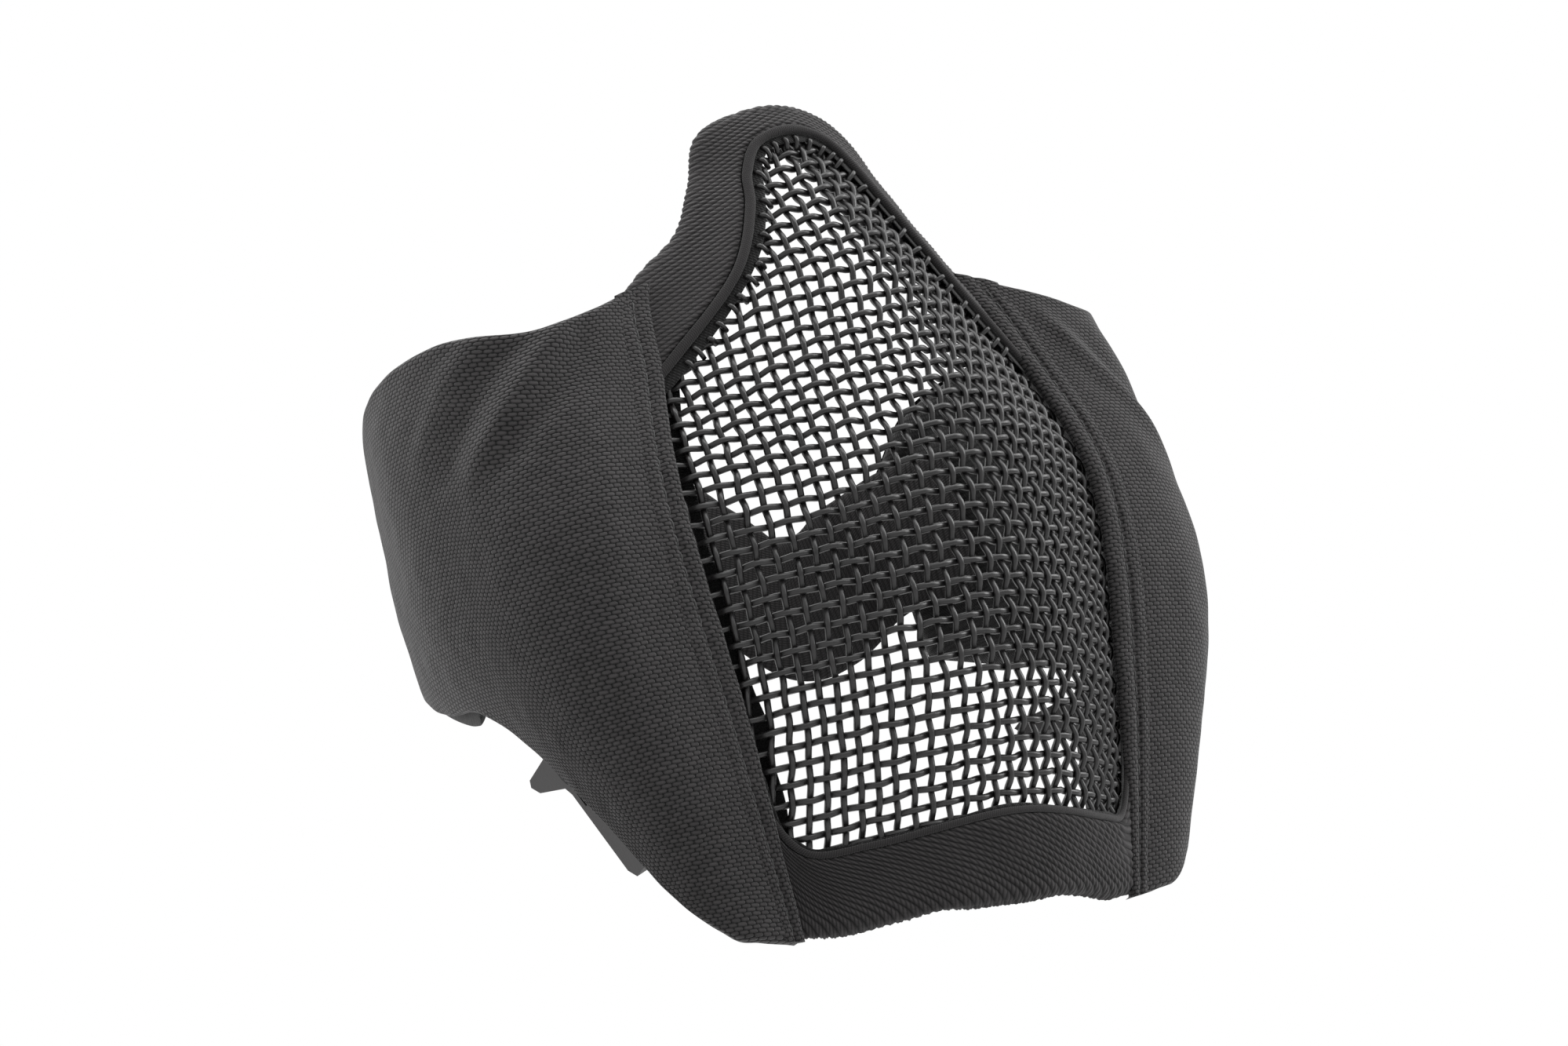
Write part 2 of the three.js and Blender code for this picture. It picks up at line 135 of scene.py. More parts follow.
# ---- curves and the two base surfaces ---------------------------------------------
def smooth(rows, key):
    """Every column of rows at the keys, read smoothly between rows as the CAD does."""
    rows = np.asarray(rows, float)
    keys, values = rows[:, 0], rows[:, 1:]
    last = len(rows) - 1
    after = np.minimum(np.arange(last + 1) + 1, last)
    before = np.maximum(np.arange(last + 1) - 1, 0)
    slopes = (values[after] - values[before]) / (keys[after] - keys[before])[:, None]
    key = np.asarray(key, float)
    i = np.clip(np.searchsorted(keys, key) - 1, 0, last - 1)
    span = (keys[i + 1] - keys[i])[..., None]
    t = np.clip((key[..., None] - keys[i][..., None]) / span, 0, 1)
    ease = t * t * (3 - 2 * t)
    bend = t * (1 - t) * span * ((1 - t) * slopes[i] - t * slopes[i + 1])
    return values[i] * (1 - ease) + values[i + 1] * ease + bend


def face_point(x, z):
    """The wire's outer surface: a rounded ridge between the cheek seams."""
    half, side, centre, k = np.moveaxis(smooth(FACE, z), -1, 0)
    s = x / half
    rise = (np.sqrt(s * s + k * k) - k) / (np.sqrt(1 + k * k) - k)
    return np.stack([x + 0 * z, -centre + (centre - side) * rise, z + 0 * x], -1)


def wing_point(share, z):
    """The left wing's base surface, share of the way back from the seam."""
    share, z = np.broadcast_arrays(np.asarray(share, float), np.asarray(z, float))
    seam = face_point(smooth(FACE, z)[..., 0], z)
    x1, y1, x2, y2, x3, y3 = np.moveaxis(smooth(WING, z), -1, 0)
    weights = [(1 - share) ** 3, 3 * share * (1 - share) ** 2, 3 * share**2 * (1 - share), share**3]
    x = sum(w * v for w, v in zip(weights, (seam[..., 0], x1, x2, x3)))
    y = sum(w * v for w, v in zip(weights, (seam[..., 1], y1, y2, y3)))
    return np.stack([x, y, z], -1)


def lifted(surface, a, b, step, lift):
    """A surface's points moved along its outward normal."""
    du = surface(a + step, b) - surface(a - step, b)
    dv = surface(a, b + 0.2) - surface(a, b - 0.2)
    normal = np.cross(du, dv)
    normal /= np.linalg.norm(normal, axis=-1, keepdims=True)
    return surface(a, b) + normal * np.asarray(lift, float)[..., None]


def on_face(x, z, lift):
    return lifted(face_point, x, z, 0.2, lift)


def on_wing(share, z, lift):
    return lifted(wing_point, share, z, 0.004, lift)


def catmull_rom(points, t):
    """A centripetal Catmull-Rom curve at t, 0 to 1, with equal steps of t between points."""
    points = np.asarray(points, float)
    ends = (2 * points[0] - points[1], 2 * points[-1] - points[-2])
    points = np.vstack([ends[0], points, ends[1]])
    place = np.asarray(t, float) * (len(points) - 3)
    i = np.clip(place.astype(int), 0, len(points) - 4)
    w = (place - i)[..., None]
    p0, p1, p2, p3 = (points[i + k] for k in range(4))
    d0, d1, d2 = (np.sqrt(np.linalg.norm(b - a, axis=-1))[..., None]
                  for a, b in ((p0, p1), (p1, p2), (p2, p3)))
    t1 = ((p1 - p0) / d0 - (p2 - p0) / (d0 + d1) + (p2 - p1) / d1) * d1
    t2 = ((p2 - p1) / d1 - (p3 - p1) / (d1 + d2) + (p3 - p2) / d2) * d1
    return p1 + t1 * w + (3 * (p2 - p1) - 2 * t1 - t2) * w**2 + (2 * (p1 - p2) + t1 + t2) * w**3


def mirrored(left_half):
    """A band edge from the right seam, t 0, over the middle to the left seam, t 1."""
    right = [[-x, 0, z] for x, z in left_half]
    left = [[x, 0, z] for x, z in reversed(left_half[:-1])]
    return lambda t: catmull_rom(right + left, t)


nose_outer, nose_inner = mirrored(NOSE_OUTER), mirrored(NOSE_INNER)
chin_outer, chin_inner = mirrored(CHIN_OUTER), mirrored(CHIN_INNER)


def panel_half_width(z):
    """The wire's half width: tucked under the wing, then along the nose band."""
    z = np.asarray(z, float)
    tuck = np.clip((114 - z) / 10, -0.4, 1) * MESH_TUCK
    edge = nose_outer(np.linspace(0.5, 1, 200))
    along_nose = np.interp(-z, -edge[:, 2], edge[:, 0])
    return np.where(z < NOSE_EDGE_FROM, smooth(FACE, z)[..., 0] + tuck, along_nose)


def lengths(points, axis=0):
    """Distance run along the points of a grid, from its first row."""
    steps = np.linalg.norm(np.diff(points, axis=axis), axis=-1)
    start = np.zeros_like(np.take(steps, [0], axis=axis))
    return np.concatenate([start, np.cumsum(steps, axis=axis)], axis=axis)


def ripple(seed, u, v, size):
    """Smooth seeded unevenness, about -1 to 1, over a surface measured in millimetres."""
    rng = np.random.default_rng(seed)
    total = 0
    for _ in range(6):
        turn = rng.uniform(0, math.tau)
        wave = size * rng.uniform(0.7, 1.6)
        phase = rng.uniform(0, math.tau)
        total = total + np.sin((u * math.cos(turn) + v * math.sin(turn)) / wave * math.tau + phase)
    return total / 3


# ---- meshes -------------------------------------------------------------------------
def grid_faces(columns, rows, start=0, closed=False):
    """Quads of a grid stored column by column; closed joins its last row to its first."""
    i, j = np.meshgrid(np.arange(columns - 1), np.arange(rows if closed else rows - 1), indexing="ij")
    following = (j + 1) % rows
    quads = [i * rows + j, (i + 1) * rows + j, (i + 1) * rows + following, i * rows + following]
    return np.stack(quads, -1).reshape(-1, 4) + start


def end_faces(count, sides, start=0):
    """The two end faces of a tube of count rings."""
    first = np.arange(sides) + start
    return np.stack([first, (first + (count - 1) * sides)[::-1]])


def build(name, points, faces, material, uv=None):
    """A mesh object from millimetre points and lists of faces with the same number of corners."""
    points = np.asarray(points, float).reshape(-1, 3) - [0, 0, SEAT_HEIGHT]
    sizes = np.concatenate([np.full(len(f), f.shape[1]) for f in faces])
    corners = np.concatenate([f.reshape(-1) for f in faces])
    mesh = bpy.data.meshes.new(name)
    mesh.vertices.add(len(points))
    mesh.vertices.foreach_set("co", (points * 0.001).astype(np.float32).ravel())
    mesh.loops.add(len(corners))
    mesh.loops.foreach_set("vertex_index", corners.astype(np.int32))
    mesh.polygons.add(len(sizes))
    mesh.polygons.foreach_set("loop_start", (np.cumsum(sizes) - sizes).astype(np.int32))
    mesh.polygons.foreach_set("use_smooth", np.ones(len(sizes), bool))
    mesh.update(calc_edges=True)
    if uv is not None:
        layer = mesh.uv_layers.new(name="fabric")
        layer.data.foreach_set("uv", np.asarray(uv, np.float32).reshape(-1, 2)[corners].ravel())
    mesh.validate()
    mesh.materials.append(material)
    made = bpy.data.objects.new(name, mesh)
    bpy.context.scene.collection.objects.link(made)
    return made


def outward(made):
    """Turns a closed mesh's faces to point out."""
    work = bmesh.new()
    work.from_mesh(made.data)
    bmesh.ops.recalc_face_normals(work, faces=work.faces)
    work.to_mesh(made.data)
    work.free()
    return made


def pillow(name, outer, inner, material, uv):
    """A closed piece between two grids of the same size, joined all round their borders."""
    columns, rows = outer.shape[:2]
    count = columns * rows
    rim = np.concatenate([
        np.arange(rows), np.arange(1, columns) * rows + rows - 1,
        np.arange(rows - 2, -1, -1) + (columns - 1) * rows, np.arange(columns - 2, 0, -1) * rows])
    following = np.roll(rim, -1)
    border = np.stack([rim, following, following + count, rim + count], -1)
    faces = [grid_faces(columns, rows), grid_faces(columns, rows, count)[:, ::-1], border]
    points = np.concatenate([outer.reshape(-1, 3), inner.reshape(-1, 3)])
    both = np.concatenate([uv.reshape(-1, 2), uv.reshape(-1, 2)])
    return outward(build(name, points, faces, material, both))


def tube_points(centre, normal, radius, sides, flat=1.0):
    """Rings round a line: centre and normal are rows of points; flat squeezes the ring's height."""
    tangent = np.gradient(centre, axis=0)
    tangent /= np.linalg.norm(tangent, axis=-1, keepdims=True)
    across = np.cross(tangent, normal)
    across /= np.linalg.norm(across, axis=-1, keepdims=True)
    up = np.cross(across, tangent)
    turn = np.arange(sides) / sides * math.tau
    ring = across[:, None] * np.cos(turn)[:, None] + up[:, None] * np.sin(turn)[:, None] * flat
    return centre[:, None] + ring * np.asarray(radius, float).reshape(-1, 1, 1)


def tubes(name, runs, material, sides):
    """Many capped tubes as one mesh; each run is its grid of ring points."""
    points, quads, caps, start = [], [], [], 0
    for rings in runs:
        count = len(rings)
        points.append(rings.reshape(-1, 3))
        quads.append(grid_faces(count, sides, start, closed=True))
        caps.append(end_faces(count, sides, start))
        start += count * sides
    faces = [np.concatenate(quads), np.concatenate(caps)]
    return outward(build(name, np.concatenate(points), faces, material))


def loft(name, rings, material, uv):
    """One capped tube with fabric coordinates; rings is its grid of ring points."""
    count, sides = rings.shape[:2]
    faces = [grid_faces(count, sides, closed=True), end_faces(count, sides)]
    return outward(build(name, rings, faces, material, uv))


def applied(made):
    """Turns a piece's modifiers into its mesh."""
    seen = made.evaluated_get(bpy.context.evaluated_depsgraph_get())
    shape = bpy.data.meshes.new_from_object(seen)
    made.modifiers.clear()
    made.data = shape


def inflate(made, pinned):
    """Fills a closed piece with air as cloth: pinned points stay, the others move up to the cap."""
    scene = bpy.context.scene
    held = made.vertex_groups.new(name="sewn")
    held.add([int(k) for k in pinned], 1, "REPLACE")
    count = len(made.data.vertices)
    before = np.empty(count * 3, np.float32)
    made.data.vertices.foreach_get("co", before)
    cloth = made.modifiers.new("air", "CLOTH")
    cloth.settings.vertex_group_mass = "sewn"
    cloth.settings.mass = 0.001
    cloth.settings.tension_stiffness = 8
    cloth.settings.compression_stiffness = 8
    cloth.settings.shear_stiffness = 3
    cloth.settings.bending_stiffness = 0.1
    cloth.settings.use_pressure = True
    cloth.settings.uniform_pressure_force = 30
    cloth.settings.effector_weights.gravity = 0
    cloth.collision_settings.use_collision = False
    cloth.point_cache.frame_start, cloth.point_cache.frame_end = 1, AIR_FRAMES
    for number in range(1, AIR_FRAMES + 1):
        scene.frame_set(number)
    puffed = made.evaluated_get(bpy.context.evaluated_depsgraph_get())
    after = np.empty(count * 3, np.float32)
    puffed.data.vertices.foreach_get("co", after)
    made.modifiers.clear()
    made.vertex_groups.clear()
    scene.frame_set(1)
    move = (after - before).reshape(-1, 3)
    far = np.linalg.norm(move, axis=1)
    cap = AIR_CAP * 0.001
    move *= (cap * np.tanh(far / cap) / np.maximum(far, 1e-9))[:, None]
    made.data.vertices.foreach_set("co", (before.reshape(-1, 3) + move).ravel())
    made.data.update()
    finer = made.modifiers.new("finer", "SUBSURF")
    finer.levels = 1
    applied(made)


# ---- materials ------------------------------------------------------------------------
class Nodes:
    """A material's node tree, with arithmetic written as short calls."""

    def __init__(self, name):
        self.material = bpy.data.materials.new(name)
        self.material.use_nodes = True
        self.tree = self.material.node_tree
        self.shader = self.tree.nodes["Principled BSDF"]

    def node(self, kind, **values):
        made = self.tree.nodes.new(kind)
        for key, value in values.items():
            setattr(made, key, value)
        return made

    def put(self, socket, value):
        if isinstance(value, bpy.types.NodeSocket):
            self.tree.links.new(value, socket)
        else:
            socket.default_value = value

    def math(self, operation, a, b=0.0, c=0.0):
        made = self.node("ShaderNodeMath", operation=operation)
        for socket, value in zip(made.inputs, (a, b, c)):
            self.put(socket, value)
        return made.outputs[0]

    def uv(self):
        """The fabric's own two coordinates, in millimetres."""
        made = self.node("ShaderNodeUVMap", uv_map="fabric")
        split = self.node("ShaderNodeSeparateXYZ")
        self.put(split.inputs[0], made.outputs[0])
        return split.outputs[0], split.outputs[1]

    def noise(self, scale, detail=3.0, roughness=0.5):
        """Noise over the piece, scale in waves per metre."""
        place = self.node("ShaderNodeTexCoord")
        made = self.node("ShaderNodeTexNoise")
        self.put(made.inputs["Vector"], place.outputs["Object"])
        for key, value in (("Scale", scale), ("Detail", detail), ("Roughness", roughness)):
            made.inputs[key].default_value = value
        return made.outputs[0]

    def ramp(self, factor, *stops):
        """Colour by factor; each stop is (place, (r, g, b))."""
        made = self.node("ShaderNodeValToRGB")
        elements = made.color_ramp.elements
        while len(elements) < len(stops):
            elements.new(0.5)
        for element, (place, colour) in zip(elements, stops):
            element.position = place
            element.color = (*colour, 1)
        self.put(made.inputs[0], factor)
        return made.outputs[0]

    def level(self, factor, low, high):
        made = self.node("ShaderNodeMapRange")
        for socket, value in zip(made.inputs, (factor, 0.0, 1.0, low, high)):
            self.put(socket, value)
        return made.outputs[0]

    def bump(self, height, distance, before=None):
        made = self.node("ShaderNodeBump")
        made.inputs["Strength"].default_value = 1
        made.inputs["Distance"].default_value = distance
        self.put(made.inputs["Height"], height)
        if before is not None:
            self.put(made.inputs["Normal"], before)
        return made.outputs[0]

    def finish(self, colour, roughness, normal=None, **plain):
        self.put(self.shader.inputs["Base Color"], colour)
        self.put(self.shader.inputs["Roughness"], roughness)
        if normal is not None:
            self.put(self.shader.inputs["Normal"], normal)
        for key, value in plain.items():
            self.shader.inputs[key.replace("_", " ")].default_value = value
        return self.material


def grey(level, warmth=0.0):
    return (level * (1 + warmth), level, level * (1 + warmth * 0.3))


def coarse_weave(name, long, wide, dark, light, depth, sheen):
    """Coarse nylon: rows of plump thread crossings, each row half a step along from the last."""
    n = Nodes(name)
    u, v = n.uv()
    wander = n.math("MULTIPLY", n.math("SUBTRACT", n.noise(240, 2), 0.5), 0.7)
    y = n.math("ADD", n.math("DIVIDE", v, wide), wander)
    row = n.math("FLOOR", y)
    x = n.math("ADD", n.math("DIVIDE", u, long), n.math("MULTIPLY_ADD", row, 0.5, wander))
    across = n.math("MULTIPLY", n.math("SUBTRACT", n.math("FRACT", y), 0.5), 2.1)
    along = n.math("MULTIPLY", n.math("SUBTRACT", n.math("FRACT", x), 0.5), 2.15)
    width = n.math("MULTIPLY", across, across)
    length = n.math("MULTIPLY", along, along)
    left = n.math("SUBTRACT", n.math("SUBTRACT", 1.0, width), n.math("MULTIPLY", length, length))
    height = n.math("SQRT", n.math("MAXIMUM", left, 0.0))
    place = n.node("ShaderNodeCombineXYZ")
    n.put(place.inputs[0], n.math("FLOOR", x))
    n.put(place.inputs[1], row)
    random = n.node("ShaderNodeTexWhiteNoise", noise_dimensions="2D")
    n.put(random.inputs["Vector"], place.outputs[0])
    fuzz = n.noise(2600, 4, 0.7)
    patch = n.noise(40, 3)
    # The colour follows the thread height: the gaps between crossings are darkened as painted shade, mixed
    # with the yarn's own random tone from fuzz, patch and random.
    shade = n.math("MULTIPLY_ADD", height, 0.75, n.math("MULTIPLY_ADD", fuzz, 0.2, n.math(
        "MULTIPLY_ADD", patch, 0.3, n.math("MULTIPLY_ADD", random.outputs[0], 0.2, -0.34))))
    middle = (0.5, grey((dark + light) / 2, 0.06))
    colour = n.ramp(shade, (0.0, grey(dark)), middle, (1.0, grey(light, 0.07)))
    normal = n.bump(fuzz, 0.00005, n.bump(height, depth))
    return n.finish(colour, n.level(fuzz, 0.75, 1.0), normal, Sheen_Weight=sheen, Sheen_Roughness=0.35,
                    Specular_IOR_Level=0.2)


def ribbed(name, pitch, turn, dash, dark, light, depth, sheen):
    """Ribbed webbing: ribs turned from the first coordinate, each made of short slanted threads."""
    n = Nodes(name)
    u, v = n.uv()
    c, s = math.cos(math.radians(turn)), math.sin(math.radians(turn))
    wander = n.math("MULTIPLY", n.math("SUBTRACT", n.noise(200, 2), 0.5), 0.5)
    across = n.math("ADD", n.math("DIVIDE", n.math("SUBTRACT", n.math("MULTIPLY", v, c), n.math(
        "MULTIPLY", u, s)), pitch), wander)
    along = n.math("DIVIDE", n.math("ADD", n.math("MULTIPLY", u, c), n.math("MULTIPLY", v, s)), dash)
    rib = n.math("ABSOLUTE", n.math("SINE", n.math("MULTIPLY", across, math.pi)))
    slant = n.math("ADD", along, n.math("MULTIPLY", across, 0.8))
    threads = n.math("ABSOLUTE", n.math("SINE", n.math("MULTIPLY", slant, math.pi)))
    height = n.math("MULTIPLY", n.math("POWER", rib, 0.7), n.math("MULTIPLY_ADD", threads, 0.65, 0.35))
    fuzz = n.noise(2600, 4, 0.7)
    patch = n.noise(50, 3)
    # The colour follows the rib height: the grooves between ribs and threads are darkened as painted shade,
    # mixed with random tone from fuzz and patch.
    shade = n.math("MULTIPLY_ADD", height, 0.8, n.math("MULTIPLY_ADD", fuzz, 0.25, n.math(
        "MULTIPLY_ADD", patch, 0.25, -0.25)))
    middle = (0.55, grey((dark + light) / 2, 0.06))
    colour = n.ramp(shade, (0.0, grey(dark)), middle, (1.0, grey(light, 0.07)))
    normal = n.bump(fuzz, 0.00006, n.bump(height, depth))
    return n.finish(colour, n.level(fuzz, 0.8, 1.0), normal, Sheen_Weight=sheen, Sheen_Roughness=0.35,
                    Specular_IOR_Level=0.2)


def coated_wire():
    n = Nodes("coated_wire")
    grain = n.noise(1500, 4, 0.6)
    patch = n.noise(120, 3)
    colour = n.ramp(n.math("MULTIPLY_ADD", patch, 0.6, n.math("MULTIPLY", grain, 0.4)),
                    (0.3, grey(0.003, 0.05)), (0.75, grey(0.012, 0.08)))
    normal = n.bump(grain, 0.00004)
    return n.finish(colour, n.level(patch, 0.25, 0.45), normal, Specular_IOR_Level=0.45,
                    Coat_Weight=0.15, Coat_Roughness=0.25)


def moulded_plastic():
    n = Nodes("moulded_plastic")
    grain = n.noise(2200, 3, 0.6)
    patch = n.noise(80, 3)
    colour = n.ramp(n.math("MULTIPLY_ADD", patch, 0.7, n.math("MULTIPLY", grain, 0.3)),
                    (0.2, grey(0.012, 0.05)), (0.8, grey(0.024, 0.07)))
    return n.finish(colour, n.level(patch, 0.38, 0.55), n.bump(grain, 0.00003), Specular_IOR_Level=0.22)


def brushed_tricot(name, dark, light):
    """Brushed knit against the skin: fine columns of loops under a nap."""
    n = Nodes(name)
    u, v = n.uv()
    columns = n.math("ABSOLUTE", n.math("SINE", n.math("MULTIPLY", u, math.pi / 0.55)))
    slant = n.math("ADD", v, n.math("MULTIPLY", u, 0.5))
    rows = n.math("ABSOLUTE", n.math("SINE", n.math("MULTIPLY", slant, math.pi / 0.8)))
    loops = n.math("MULTIPLY", columns, rows)
    nap = n.noise(1800, 5, 0.75)
    patch = n.noise(60, 3)
    # The colour follows the loops' height: the hollows between loops are darkened as painted shade, mixed
    # with the nap's random tone.
    shade = n.math("MULTIPLY_ADD", loops, 0.4, n.math(
        "MULTIPLY_ADD", nap, 0.5, n.math("MULTIPLY", patch, 0.25)))
    colour = n.ramp(shade, (0.15, grey(dark)), (0.9, grey(light, 0.02)))
    normal = n.bump(nap, 0.0001, n.bump(loops, 0.00012))
    return n.finish(colour, n.level(nap, 0.85, 1.0), normal, Sheen_Weight=0.12, Sheen_Roughness=0.5,
                    Specular_IOR_Level=0.2)


def closed_foam():
    n = Nodes("closed_foam")
    place = n.node("ShaderNodeTexCoord")
    cells = n.node("ShaderNodeTexVoronoi")
    cells.inputs["Scale"].default_value = 1500
    n.put(cells.inputs["Vector"], place.outputs["Object"])
    patch = n.noise(70, 3)
    # The colour follows the cells: the pits round each cell centre are darkened as painted shade, mixed with
    # random tone from patch.
    shade = n.math("MULTIPLY_ADD", cells.outputs["Distance"], 0.7, n.math("MULTIPLY", patch, 0.5))
    colour = n.ramp(shade, (0.1, grey(0.008)), (0.9, grey(0.028, 0.03)))
    return n.finish(colour, n.level(patch, 0.8, 1.0), n.bump(cells.outputs["Distance"], 0.0001),
                    Sheen_Weight=0.2, Specular_IOR_Level=0.2)


def thread_material():
    n = Nodes("sewing_thread")
    twist = n.noise(3500, 2)
    return n.finish(n.ramp(twist, (0.2, grey(0.01)), (0.8, grey(0.045))), n.level(twist, 0.6, 0.85),
                    n.bump(twist, 0.00005), Sheen_Weight=0.2)


COARSE_NYLON = coarse_weave("coarse_nylon_weave", THREAD_LONG, THREAD_WIDE, 0.003, 0.046, 0.0003, 0.2)
NOSE_WEBBING = ribbed("nose_webbing", *NOSE_RIBS, 0.003, 0.06, 0.00018, 0.2)
CHIN_WEBBING = ribbed("chin_webbing", *CHIN_RIBS, 0.002, 0.045, 0.00018, 0.1)
STRAP_WEBBING = ribbed("strap_webbing", 1.1, 90, 0.5, 0.006, 0.03, 0.00015, 0.08)
EDGING = ribbed("rolled_edging", 0.42, 78, 0.4, 0.007, 0.035, 0.00006, 0.15)
WIRE = coated_wire()
PLASTIC = moulded_plastic()
TRICOT = brushed_tricot("brushed_tricot", 0.006, 0.024)
FOAM = closed_foam()
THREAD = thread_material()
# Nearly black knit for the strips laid in the gaps by the band edging and under the hems: its darkness is
# painted shade.
PAINTED_SHADE_CLOTH = brushed_tricot("painted_shade_cloth", 0.002, 0.008)


# ---- wire cloth -------------------------------------------------------------------------
def wire_cloth():
    """Plain-woven wire: verticals at equal steps of arc from the middle, level wires up the ridge."""
    rng = np.random.default_rng(11)
    bottom, top = CHIN_EDGE + 0.3, CROWN - 1.6
    heights = np.linspace(bottom, top, LEVELS)
    ridge = lengths(face_point(np.zeros_like(heights), heights))
    widths = np.linspace(0, REACH, 5 * REACH + 1)
    arcs = lengths(face_point(widths[None], heights[:, None]), axis=1)

    def x_at(arc, z):
        """Across at a signed arc from the middle, for one height or one arc each."""
        row = (z - bottom) / (top - bottom) * (len(heights) - 1)
        low = np.clip(row.astype(int), 0, len(heights) - 2)
        below, above = (np.array([np.interp(abs(a), arcs[i], widths) for a, i in zip(arc, low + k)])
                        for k in (0, 1))
        return np.sign(arc) * (below + (above - below) * (row - low))

    def warp(arc, rise):
        """The cloth's unevenness, shared by neighbouring wires."""
        return 0.35 * ripple(3, arc, rise, 34), 0.3 * ripple(4, arc, rise, 30)

    def wander(length):
        """One wire's own wavering."""
        total = 0
        for _ in range(3):
            height, wave = rng.uniform(0.03, 0.1), rng.uniform(6, 16)
            total = total + height * np.sin(length / wave * math.tau + rng.uniform(0, math.tau))
        return total

    runs = []

    def add_run(arc, rise, bend):
        """Sweeps one wire; arc and rise are its places in the cloth before the warp."""
        d_arc, d_rise = warp(arc, rise)
        z = np.interp(rise + d_rise, ridge, heights)
        x = x_at(arc + d_arc, z)
        inside = (rise + d_rise > 0) & (rise + d_rise < ridge[-1])
        inside &= (np.abs(x) < panel_half_width(z) - 0.3) & (z > WIRE_END) & (z < top - 0.01)
        edges = np.flatnonzero(np.diff(np.concatenate([[0], inside.astype(int), [0]])))
        for start, stop in edges.reshape(-1, 2):
            if stop - start < 2 * STEPS_PER_PITCH:
                continue
            part = slice(start, stop)
            lift = -MESH_THICK / 2 + bend[part]
            centre = on_face(x[part], z[part], lift)
            normal = on_face(x[part], z[part], lift + 1) - centre
            runs.append(tube_points(centre, normal, WIRE_R, WIRE_SIDES))

    def pulled(arc, rise):
        """The cloth is pulled out of square over the nose, more and more as it rises."""
        past = rise - NOSE_START
        over_nose = np.clip(past / 50, 0, 1)
        over_nose = over_nose * over_nose * (3 - 2 * over_nose)
        return arc + 0.09 * over_nose * past, rise + 0.12 * over_nose * arc

    fine = WIRE_PITCH / STEPS_PER_PITCH
    for i in range(-25, 24):
        rise = np.arange(-8, ridge[-1] + 8, fine)
        arc = i * WIRE_PITCH + wander(rise)
        add_run(*pulled(arc, rise), WIRE_CRIMP * (-1) ** i * np.cos(math.pi * rise / WIRE_PITCH))
    for j in range(-1, int(ridge[-1] / WIRE_PITCH) + 3):
        arc = np.arange(-78, 74, fine)
        rise = j * WIRE_PITCH + wander(arc)
        add_run(*pulled(arc, rise), -WIRE_CRIMP * (-1) ** j * np.cos(math.pi * arc / WIRE_PITCH))
    runs += cut_ends(rng)
    cloth = tubes("woven_wire_cloth", runs, WIRE, WIRE_SIDES)
    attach(cloth, "front")
    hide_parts("mesh_face_panel")


def cut_ends(rng):
    """Cut wire ends that hook over the nearly black strip of painted shade round the nose opening."""
    runs = []
    places = np.linspace(0.06, 0.94, 900)
    run = lengths(nose_inner(places))
    steps = 9
    for place in np.arange(2, run[-1], 3.3):
        k = np.argmin(np.abs(run - place - rng.uniform(-0.5, 0.5)))
        t = np.full(steps, places[k])
        away = np.linspace(3.9, rng.uniform(2.0, 2.5), steps)[:, None]
        p = nose_inner(t) + opening_side(nose_inner, t, -1) * away
        p[:, 2] += np.linspace(0, rng.uniform(-0.8, 0.8), steps)
        lift = -0.9 + 1.75 * np.sin(np.linspace(0, 2.5, steps))
        centre = on_face(p[:, 0], p[:, 2], lift)
        runs.append(tube_points(centre, on_face(p[:, 0], p[:, 2], lift + 1) - centre, 0.5, WIRE_SIDES))
    return runs


# ---- bands and their rolled edging ------------------------------------------------------
def rib_height(u, v, pitch, turn, dash):
    """The ribs' relief, 0 to 1: the same ribs as the webbing's material draws."""
    c, s = math.cos(math.radians(turn)), math.sin(math.radians(turn))
    across = (v * c - u * s) / pitch
    along = (u * c + v * s) / dash
    rib = np.abs(np.sin(across * math.pi)) ** 0.7
    threads = np.abs(np.sin((along + 0.8 * across) * math.pi))
    return rib * (0.5 + 0.5 * threads)


def fan(run):
    """Distance along the chin turned into ribs that lie flatter towards the wearer's left."""
    past = run - 35
    return 1.07 * past - 0.006 * past**2


